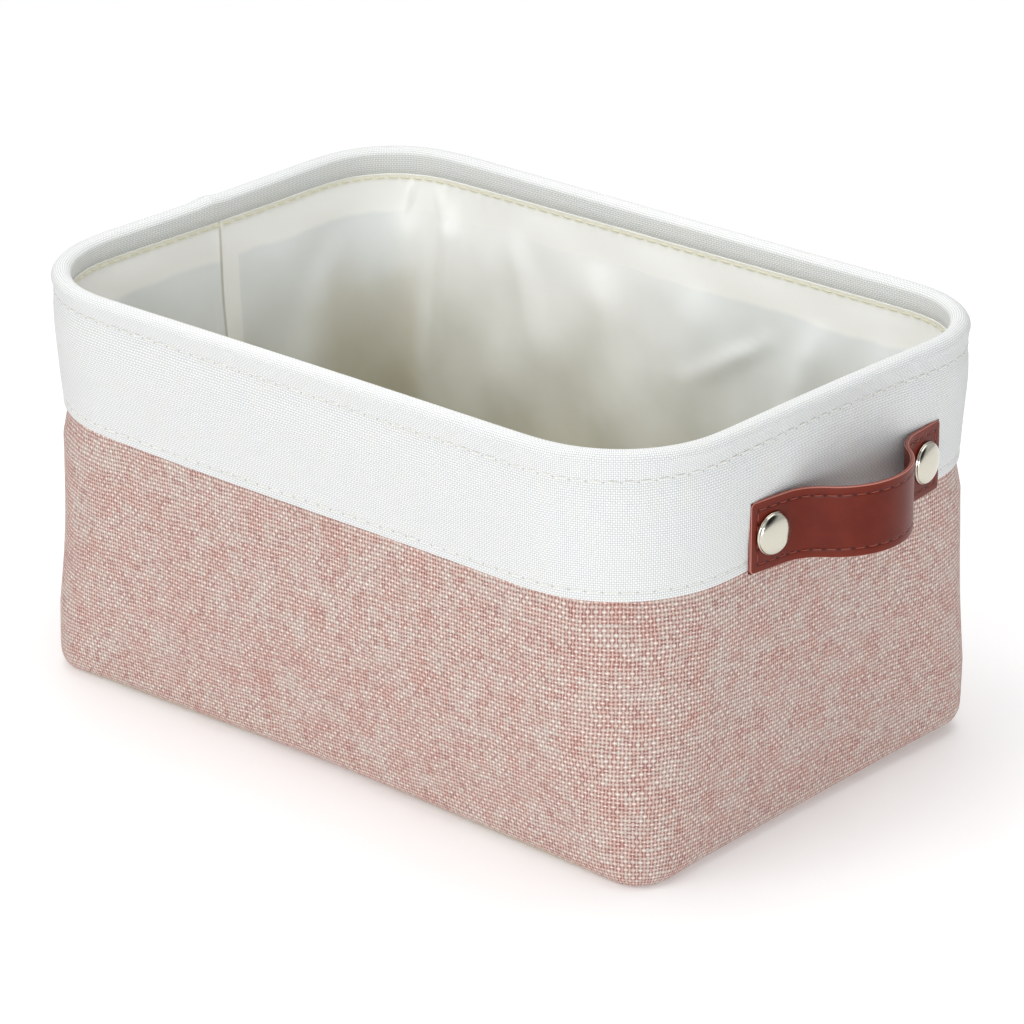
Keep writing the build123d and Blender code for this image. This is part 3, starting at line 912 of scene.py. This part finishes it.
# Folds in the lining as listed strokes: start (u, z), end (u, z), width and height
LINING_FOLDS = (
    ((0.640, 128), (0.655, 40), 9, 1.8), ((0.675, 126), (0.690, 70), 6, 1.6),
    ((0.700, 118), (0.735, 96), 5, 1.4), ((0.735, 128), (0.742, 50), 8, 1.2),
    ((0.785, 124), (0.770, 60), 7, 1.5), ((0.830, 128), (0.815, 80), 6, 1.3),
    ((0.865, 132), (0.872, 60), 5, 2.4), ((0.890, 130), (0.885, 50), 6, 1.8),
    ((0.930, 120), (0.960, 60), 9, 1.0), ((0.060, 126), (0.050, 60), 8, 1.2),
    ((0.110, 130), (0.118, 50), 6, 1.8), ((0.170, 124), (0.185, 60), 8, 1.2),
    ((0.240, 126), (0.235, 70), 9, 1.2), ((0.320, 124), (0.335, 60), 8, 1.3),
    ((0.385, 130), (0.392, 50), 6, 1.8), ((0.450, 124), (0.440, 60), 9, 1.1),
    ((0.540, 124), (0.552, 60), 9, 1.2), ((0.615, 130), (0.610, 60), 6, 2.0),
)
FOLD_DEPTH = 1.6
# How far the lining hangs off the board between its folds
LINING_SLACK = 0.8
# Short sharp pleats across the lining's hem: place (u, z), lean, width and height
HEM_PLEATS = ((0.888, 137, -0.35, 1.5, 1.6), (0.872, 136, 0.2, 2.2, 0.9),
              (0.392, 137, 0.3, 1.8, 1.2), (0.112, 137, -0.3, 1.6, 1.2))
# The lining's seam: how far it stands off the wall, and its width
LINING_SEAM_HEIGHT, LINING_SEAM_WIDTH = 0.7, 1.3


def fold_height(u, z):
    """Sum of the lining's folds at each place, in millimetres off the wall."""
    total = np.zeros(np.broadcast(u, z).shape)
    for (u0, z0), (u1, z1), width, height in LINING_FOLDS:
        share = np.clip((z0 - z) / (z0 - z1), 0, 1)
        centre = (u0 + share * (u1 - u0)) * PERIMETER
        spread = width * (1 + 0.8 * share)
        run = np.clip((z0 + 6 - z) / 14, 0, 1) * np.clip((z - z1 + 25) / 40, 0, 1)
        total += height * run * np.exp(-(off_place(u, centre) / spread) ** 2)
    return total


def pleat_height(u, z):
    """Sum of the short pleats across the hem, in millimetres off the wall."""
    total = np.zeros(np.broadcast(u, z).shape)
    for place, middle, lean, width, height in HEM_PLEATS:
        away = off_place(u - place * PERIMETER - lean * (z - middle), 0)
        total += height * np.exp(-(away / width) ** 2 - ((z - middle) / 6.0) ** 2)
    return total


def add_lining(cloth):
    line = [(6.6, LINER_TOP_Z - 0.4), (6.3, LINER_TOP_Z - 0.2), (6.1, INNER_STITCH_Z),
            (6.1, INNER_STITCH_Z - 3), (5.9, STIFFENER_TOP_Z + 2), (5.8, STIFFENER_TOP_Z - 1.5),
            (5.8, STIFFENER_TOP_Z - 6), (5.7, 60), (5.7, FLOOR_Z + 5), (7.0, FLOOR_Z + 1.2),
            (10.5, FLOOR_Z + 0.5)]
    line = thinned(rounded_line(line, 0.5, 1.5)[::-1], 0.02, 2.5)
    profile, _ = cloth_skin(line, LINING_THICKNESS)
    inset, height = profile.T
    u = places_round(LINING_COLUMNS)
    hang = np.clip((LINER_TOP_Z - 3 - height) / 16, 0, 1) * np.clip((height - 6) / 25, 0, 1)
    seam = LINING_SEAM_HEIGHT * bump_at(u, SEAM_U, LINING_SEAM_WIDTH)
    extra = []
    for h, z in zip(hang, height):
        loose = FOLD_DEPTH * fold_height(u, z) + LINING_SLACK * (1 + ripple(u, z, 9, 45, 21))
        pucker = 0.05 * np.cos(2 * math.pi * u / STITCH_PITCH) * math.exp(-((z - INNER_STITCH_Z) / 2) ** 2)
        extra.append(-h * loose - pleat_height(u, z) - seam * (z < RIM_STITCH_Z) + pucker)
    rings = body_rings(height, inset, LINING_COLUMNS, extra)
    lining = tube("lining_cloth", rings, np.concatenate([line[:, 1], line[::-1, 1]]))
    dress(lining, cloth, "liner_wall")


# ------------------------------------------------------------------ handles

STRAP_LOW, STRAP_HIGH = cad_box_mm("strap_face_right")
STRAP_WIDTH = (STRAP_HIGH - STRAP_LOW)[2]
STRAP_LENGTH = (STRAP_HIGH - STRAP_LOW)[1]
HANDLE_MIDDLE = (STRAP_HIGH + STRAP_LOW)[1] / 2
HANDLE_Z = (STRAP_HIGH + STRAP_LOW)[2] / 2
CROWN_OUT = STRAP_HIGH[0] - LENGTH / 2
POST_RADIUS = np.ptp(cad_box_mm("rivet_posts_right"), axis=0)[2] / 2
RIVET_FROM_END = (STRAP_LENGTH - np.ptp(cad_box_mm("rivet_posts_right"), axis=0)[1]) / 2 + POST_RADIUS
WALL_X = size_at(HANDLE_Z)[0] / 2 - END_DIP
STRAP_GAP = 0.25
STRAP_LAYER = 0.75
LAYER_GAP = 0.04
STITCH_INSET = 3.0
STRAP_PITCH = 4.7
STRAP_STITCH_RADIUS = 0.24
# How deep the strap's stitches lie below its face
STITCH_SINK = 0.08
GROOVE_WIDTH = 0.42
CROWN_RADIUS = 26.0
FOOT_RADIUS = 19.0
TAB_TILT = math.radians(6.6)
CAP_RADIUS = 7.5
CAP_HEIGHT = 3.1
CAP_ROLL = 0.55
CAP_GAP = 0.1
CAP_SEGMENTS = 72


def strap_path():
    """The strap's inner face in plan, as points (out from the wall, along it): tilted tabs, a round bow."""
    rise = CROWN_OUT - 2 * STRAP_LAYER
    tilt = TAB_TILT
    # The bow's angle is the one that brings the crown out to the CAD's place
    low, high = tilt, math.pi / 2
    for _ in range(40):
        bow = (low + high) / 2
        run = FOOT_RADIUS * (math.sin(bow) - math.sin(tilt)) + CROWN_RADIUS * math.sin(bow)
        tab = (STRAP_LENGTH / 2 - run) / math.cos(tilt)
        height = (tab * math.sin(tilt) + FOOT_RADIUS * (math.cos(tilt) - math.cos(bow))
                  + CROWN_RADIUS * (1 - math.cos(bow)))
        low, high = (bow, high) if height < rise else (low, bow)
    into = np.linspace(tilt, bow, 20)
    over = np.linspace(-bow, 0, 40)
    foot_out = tab * math.sin(tilt) + FOOT_RADIUS * (math.cos(tilt) - np.cos(into))
    foot_along = -STRAP_LENGTH / 2 + tab * math.cos(tilt) + FOOT_RADIUS * (np.sin(into) - math.sin(tilt))
    crown = np.stack([rise - CROWN_RADIUS + CROWN_RADIUS * np.cos(over), CROWN_RADIUS * np.sin(over)], 1)
    half = np.concatenate([[(0.0, -STRAP_LENGTH / 2)], np.stack([foot_out, foot_along], 1), crown[1:]])
    line = np.concatenate([half, half[-2::-1] * [1, -1]])
    return rounded_line(line, 0.4, 2.4) + [STRAP_GAP, 0]


def strap_frame(turn):
    """The strap's path as 3-D points and outward directions in the row frame, and the length along it."""
    line = strap_path()
    tangent = units(np.gradient(line, axis=0))
    sign = -1 if turn else 1
    place = np.column_stack([sign * (line + [WALL_X, HANDLE_MIDDLE]), np.full(len(line), HANDLE_Z)])
    face = np.column_stack([sign * tangent[:, 1], -sign * tangent[:, 0], np.zeros(len(line))])
    return place, face, lengths_along(line)


def on_strap(frame_lines, s):
    """Place and outward direction at length s along the strap."""
    place, face, along = frame_lines
    centre = np.array([np.interp(s, along, place[:, axis]) for axis in range(3)])
    out = np.array([np.interp(s, along, face[:, axis]) for axis in range(3)])
    return centre, out / np.linalg.norm(out)


def edge_distance(s, w, total, corner=1.8):
    """Distance in from the edge of the strap's flat shape, whose corners are slightly rounded."""
    x = np.abs(s - total / 2) - (total / 2 - corner)
    y = np.abs(w) - (STRAP_WIDTH / 2 - corner)
    return corner - (np.hypot(np.maximum(x, 0), np.maximum(y, 0)) + np.minimum(np.maximum(x, y), 0))


FINE_EDGE = 4.2


def edged_steps(low, high, at_edge, between):
    """Steps from low to high, finer near both ends, where the leather is rounded and grooved."""
    return np.unique(np.concatenate([np.linspace(low, low + FINE_EDGE, at_edge),
                                     np.linspace(low + FINE_EDGE, high - FINE_EDGE, between),
                                     np.linspace(high - FINE_EDGE, high, at_edge)]))


def strap_layer(name, turn, low, high, rounding, groove):
    """A leather layer between two distances off the strap's inner face, with rounded edges and a groove."""
    place, face, along = strap_frame(turn)
    total = along[-1]
    half = STRAP_WIDTH / 2
    s = edged_steps(0, total, 15, 230)
    w = edged_steps(-half, half, 17, 24)
    centre = np.stack([np.interp(s, along, place[:, k]) for k in range(3)], 1)
    outward = units(np.stack([np.interp(s, along, face[:, k]) for k in range(3)], 1))
    ss, ww = np.meshgrid(s, w, indexing="ij")
    inside = np.maximum(edge_distance(ss, ww, total), 0)
    drop = rounding - np.sqrt(np.maximum(rounding ** 2 - np.maximum(rounding - inside, 0) ** 2, 0))
    cut = groove * np.exp(-((inside - STITCH_INSET) / GROOVE_WIDTH) ** 2)
    up = np.array([0, 0, 1.0]) * ww[..., None]
    sheets = [centre[:, None] + outward[:, None] * height[..., None] + up
              for height in (high - drop - cut, low + 0.6 * drop)]
    rows, columns = len(s), len(w)
    outer_faces = grid_faces(rows, columns, False, False)
    inner_faces = outer_faces[:, ::-1] + rows * columns
    rim = np.concatenate([np.arange(columns), np.arange(1, rows) * columns + columns - 1,
                          (rows - 1) * columns + np.arange(columns - 2, -1, -1),
                          np.arange(rows - 2, 0, -1) * columns])
    next_rim = np.roll(rim, -1)
    sides = np.stack([rim, rim + rows * columns, next_rim + rows * columns, next_rim], 1)
    faces = np.concatenate([outer_faces, inner_faces, sides])
    long_run, short_run = total - 2 * STITCH_INSET, STRAP_WIDTH - 2 * STITCH_INSET
    at_end = total / 2 - np.abs(ss - total / 2) < half - np.abs(ww)
    step = np.where(at_end, (ww + short_run / 2) / short_run * max(1, round(short_run / STRAP_PITCH)),
                    (ss - STITCH_INSET) / long_run * max(1, round(long_run / STRAP_PITCH)))
    uv = np.tile(np.stack([inside.ravel(), step.ravel()], 1), (2, 1))[faces.ravel()]
    return make_mesh(name, np.concatenate([sheet.reshape(-1, 3) for sheet in sheets]), faces, uv)


def strap_stitches(name, turn):
    """Stitches round the strap's face in one closed line, sunk in the groove."""
    lines = strap_frame(turn)
    last = lines[2][-1] - STITCH_INSET
    half = STRAP_WIDTH / 2 - STITCH_INSET
    corners = [(STITCH_INSET, -half), (last, -half), (last, half), (STITCH_INSET, half)]
    starts, ends, normals = [], [], []
    for (s0, w0), (s1, w1) in zip(corners, corners[1:] + corners[:1]):
        count = max(1, round(math.hypot(s1 - s0, w1 - w0) / STRAP_PITCH))
        for k in range(count):
            for share, kept in (((k + 0.14) / count, starts), ((k + 0.86) / count, ends)):
                centre, out = on_strap(lines, s0 + share * (s1 - s0))
                up = np.array([0, 0, w0 + share * (w1 - w0)])
                kept.append(centre + out * (2 * STRAP_LAYER - STITCH_SINK) + up)
            normals.append(out)
    return capsules(name, starts, ends, normals, STRAP_STITCH_RADIUS)


def rivet_caps(name, turn):
    """Two domed caps, lathed from a rolled edge up to the crown."""
    turns = np.radians(np.linspace(-90, 62, 12))
    edge = CAP_ROLL * np.stack([np.cos(turns), np.sin(turns)], 1) + [CAP_RADIUS - CAP_ROLL, CAP_ROLL]
    share = np.linspace(0, 1, 22)[1:]
    dome = np.stack([edge[-1, 0] * np.cos(share * math.pi / 2),
                     edge[-1, 1] + (CAP_HEIGHT - edge[-1, 1]) * np.sin(share * math.pi / 2) ** 0.92], 1)
    under = [(CAP_RADIUS - 2.2, 0.5), (CAP_RADIUS - 1.2, 0.1)]
    profile = np.concatenate([under, edge, dome[:-1]])
    segments = CAP_SEGMENTS
    angle = np.arange(segments) * 2 * math.pi / segments
    lines = strap_frame(turn)
    points, faces = [], []
    for s in (RIVET_FROM_END, lines[2][-1] - RIVET_FROM_END):
        base = len(points)
        centre, out = on_strap(lines, s)
        centre = centre + out * (2 * STRAP_LAYER + CAP_GAP)
        side = np.cross([0, 0, 1], out)
        for r, h in profile:
            ring = np.outer(np.cos(angle), side) + np.outer(np.sin(angle), [0, 0, 1])
            points += list(centre + out * h + r * ring)
        crown = len(points)
        points.append(centre + out * CAP_HEIGHT)
        faces += [list(f + base) for f in grid_faces(len(profile), segments, False, True)]
        last = base + (len(profile) - 1) * segments
        faces += [[last + k, last + (k + 1) % segments, crown] for k in range(segments)]
        faces.append([base + k for k in reversed(range(segments))])
    return make_mesh(name, np.array(points), faces)


def add_handle(side, turn, finishes):
    face = strap_layer(f"strap_face_leather_{side}", turn, STRAP_LAYER + LAYER_GAP, 2 * STRAP_LAYER, 0.4, 0.2)
    backing = strap_layer(f"strap_backing_leather_{side}", turn, 0.0, STRAP_LAYER, 0.3, 0.0)
    stitches = strap_stitches(f"strap_stitches_{side}", turn)
    for piece, node, finish, slot in ((face, "strap_face", "leather", "brown_leather"),
                                      (backing, "strap_backing", "leather", "brown_leather"),
                                      (stitches, "strap_thread", "brown_thread", "brown_thread")):
        dress(piece, finishes[finish], f"{node}_{side}", body=None)
        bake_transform(piece)
    dress(rivet_caps(f"rivet_domes_{side}", turn), finishes["nickel"], f"rivet_caps_{side}")


# ------------------------------------------------------------------ build

finishes = {
    "linen": rose_linen(), "cotton": white_cotton(), "lining": cream_lining(), "leather": leather(),
    "nickel": metal("nickel_rivet", srgb(212, 208, 194), 0.13, 3.0),
    "steel": metal("steel_wire", srgb(180, 180, 182), 0.35, 2.0),
    "white_thread": thread("white_thread", srgb(244, 243, 236)),
    "cream_thread": thread("cream_thread", srgb(242, 238, 214)),
    "brown_thread": thread("brown_thread", srgb(146, 64, 42)),
    "board": board("stiffener_board"),
}

add_band(finishes["cotton"])
add_wall(finishes["linen"])
add_stiffener(finishes["board"])
add_lining(finishes["lining"])
add_panel("base_cloth", "outer_base", 0.2, BASE_SEAM_INSET + 0.4, 1.0, finishes["linen"])
add_panel("base_stiffener_board", "base_board", 1.4, 5.2, 1.6, finishes["board"])
add_panel("lining_floor", "liner_base", FLOOR_Z - 0.6, 6.5, 0.6, finishes["lining"])

# Stitch rows: piece, node, height, inset, whether it faces inwards, thread and how it strays
for name, node, z, inset, inward, finish, stray in (
    ("rim_stitches_outside", "rim_needle_thread", RIM_STITCH_Z, 0.62, False, "white_thread", RIM_ROW_STRAY),
    ("rim_stitches_inside", "rim_bobbin_thread", INNER_STITCH_Z, 6.66, True, "cream_thread", None),
    ("hem_stitches_outside", "hem_needle_thread", HEM_STITCH_Z, 0.3, False, "white_thread", HEM_STRAY),
    ("hem_stitches_inside", "hem_bobbin_thread", HEM_STITCH_Z, 2.2, True, "white_thread", HEM_STRAY),
):
    dress(stitch_row(name, z, inset, inward, stray), finishes[finish], node)

add_base_stitches(finishes["white_thread"])
add_wire(finishes["steel"])
for side, turn in (("right", 0), ("left", 180)):
    add_handle(side, turn, finishes)

for node in ("rivet_posts_right", "rivet_posts_left", "rivet_washers_right", "rivet_washers_left"):
    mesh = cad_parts[node].data
    mesh.materials.clear()
    mesh.materials.append(finishes["nickel"])


# ------------------------------------------------------------------ floor, light and camera

FLOOR_REACH = 6.0
WORLD_STRENGTH = 0.57
# The part of the studio that is left dark: its direction,
# the cosines where it starts and is full, and its share
DARK_TOWARD = Vector((0.86, 0.12, 0.50)).normalized()
DARK_START, DARK_FULL, DARK_SHARE = 0.80, 0.96, 0.04


def add_floor():
    mesh = bpy.data.meshes.new("floor")
    corners = [(x * FLOOR_REACH, y * FLOOR_REACH, 0) for x, y in ((-1, -1), (1, -1), (1, 1), (-1, 1))]
    mesh.from_pydata(corners, [], [(0, 1, 2, 3)])
    floor = bpy.data.objects.new("floor", mesh)
    bpy.context.scene.collection.objects.link(floor)
    nodes = Nodes("floor", 0.9, Emission_Color=(1.0, 1.0, 1.0, 1.0), Emission_Strength=0.19)
    floor.data.materials.append(nodes.finish((0.93, 0.93, 0.93, 1.0)))


def add_area_light(name, place, aim, size, power, color):
    data = bpy.data.lights.new(name, "AREA")
    data.shape = "SQUARE"
    data.size = size
    data.energy = power
    data.color = color
    light = bpy.data.objects.new(name, data)
    light.location = place
    light.rotation_euler = (Vector(aim) - Vector(place)).to_track_quat("-Z", "Y").to_euler()
    light.visible_camera = False
    bpy.context.scene.collection.objects.link(light)


def add_world():
    """A white studio that is darker towards +X at mid height, as where a set has no lamp."""
    world = bpy.data.worlds.new("studio")
    world.use_nodes = True
    tree = world.node_tree
    background = tree.nodes["Background"]
    where = tree.nodes.new("ShaderNodeTexCoord")
    toward = tree.nodes.new("ShaderNodeVectorMath")
    toward.operation = "DOT_PRODUCT"
    toward.inputs[1].default_value = DARK_TOWARD
    tree.links.new(where.outputs["Generated"], toward.inputs[0])
    ramp = tree.nodes.new("ShaderNodeMapRange")
    ramp.interpolation_type = "SMOOTHSTEP"
    limits = (DARK_START, DARK_FULL, WORLD_STRENGTH, WORLD_STRENGTH * DARK_SHARE)
    for socket, value in zip(ramp.inputs[1:5], limits):
        socket.default_value = value
    tree.links.new(toward.outputs["Value"], ramp.inputs[0])
    tree.links.new(ramp.outputs[0], background.inputs["Strength"])
    background.inputs["Color"].default_value = (0.99, 0.995, 1.0, 1.0)
    bpy.context.scene.world = world


def add_camera():
    """The camera circles the object at an azimuth, elevation and roll, and looks at a point inside it."""
    azimuth, elevation, roll = math.radians(42.05), math.radians(22.5), math.radians(-0.32)
    distance, target = 1.655, Vector((0.0041, 0.0019, 0.0705))
    data = bpy.data.cameras.new("camera")
    data.sensor_width = 36.0
    data.lens = 164.6
    data.clip_end = 50.0
    camera = bpy.data.objects.new("camera", data)
    level = math.cos(elevation)
    back = Vector((math.sin(azimuth) * level, -math.cos(azimuth) * level, math.sin(elevation)))
    camera.location = target + back * distance
    camera.rotation_mode = "QUATERNION"
    camera.rotation_quaternion = (-back).to_track_quat("-Z", "Y") @ Quaternion((0, 0, 1), roll)
    bpy.context.scene.collection.objects.link(camera)
    bpy.context.scene.camera = camera


bpy.context.scene.view_settings.view_transform = "Standard"
add_floor()
add_world()
add_area_light("key", (-0.6, -1.9, 1.9), (0, 0, 0.05), 1.6, 15.3, (1.0, 0.985, 0.965))
add_area_light("side", (1.7, -1.35, 0.42), (0.15, 0, 0.1), 0.7, 14.3, (0.95, 0.98, 1.0))
add_area_light("top", (-0.1, 0.3, 2.2), (0, 0, 0.0), 1.7, 18.0, (1.0, 1.0, 1.0))
add_area_light("fill", (0.0, -0.03, 0.36), (0, 0, 0.1), 0.24, 0.24, (1.0, 1.0, 1.0))
add_camera()

bpy.context.view_layer.update()
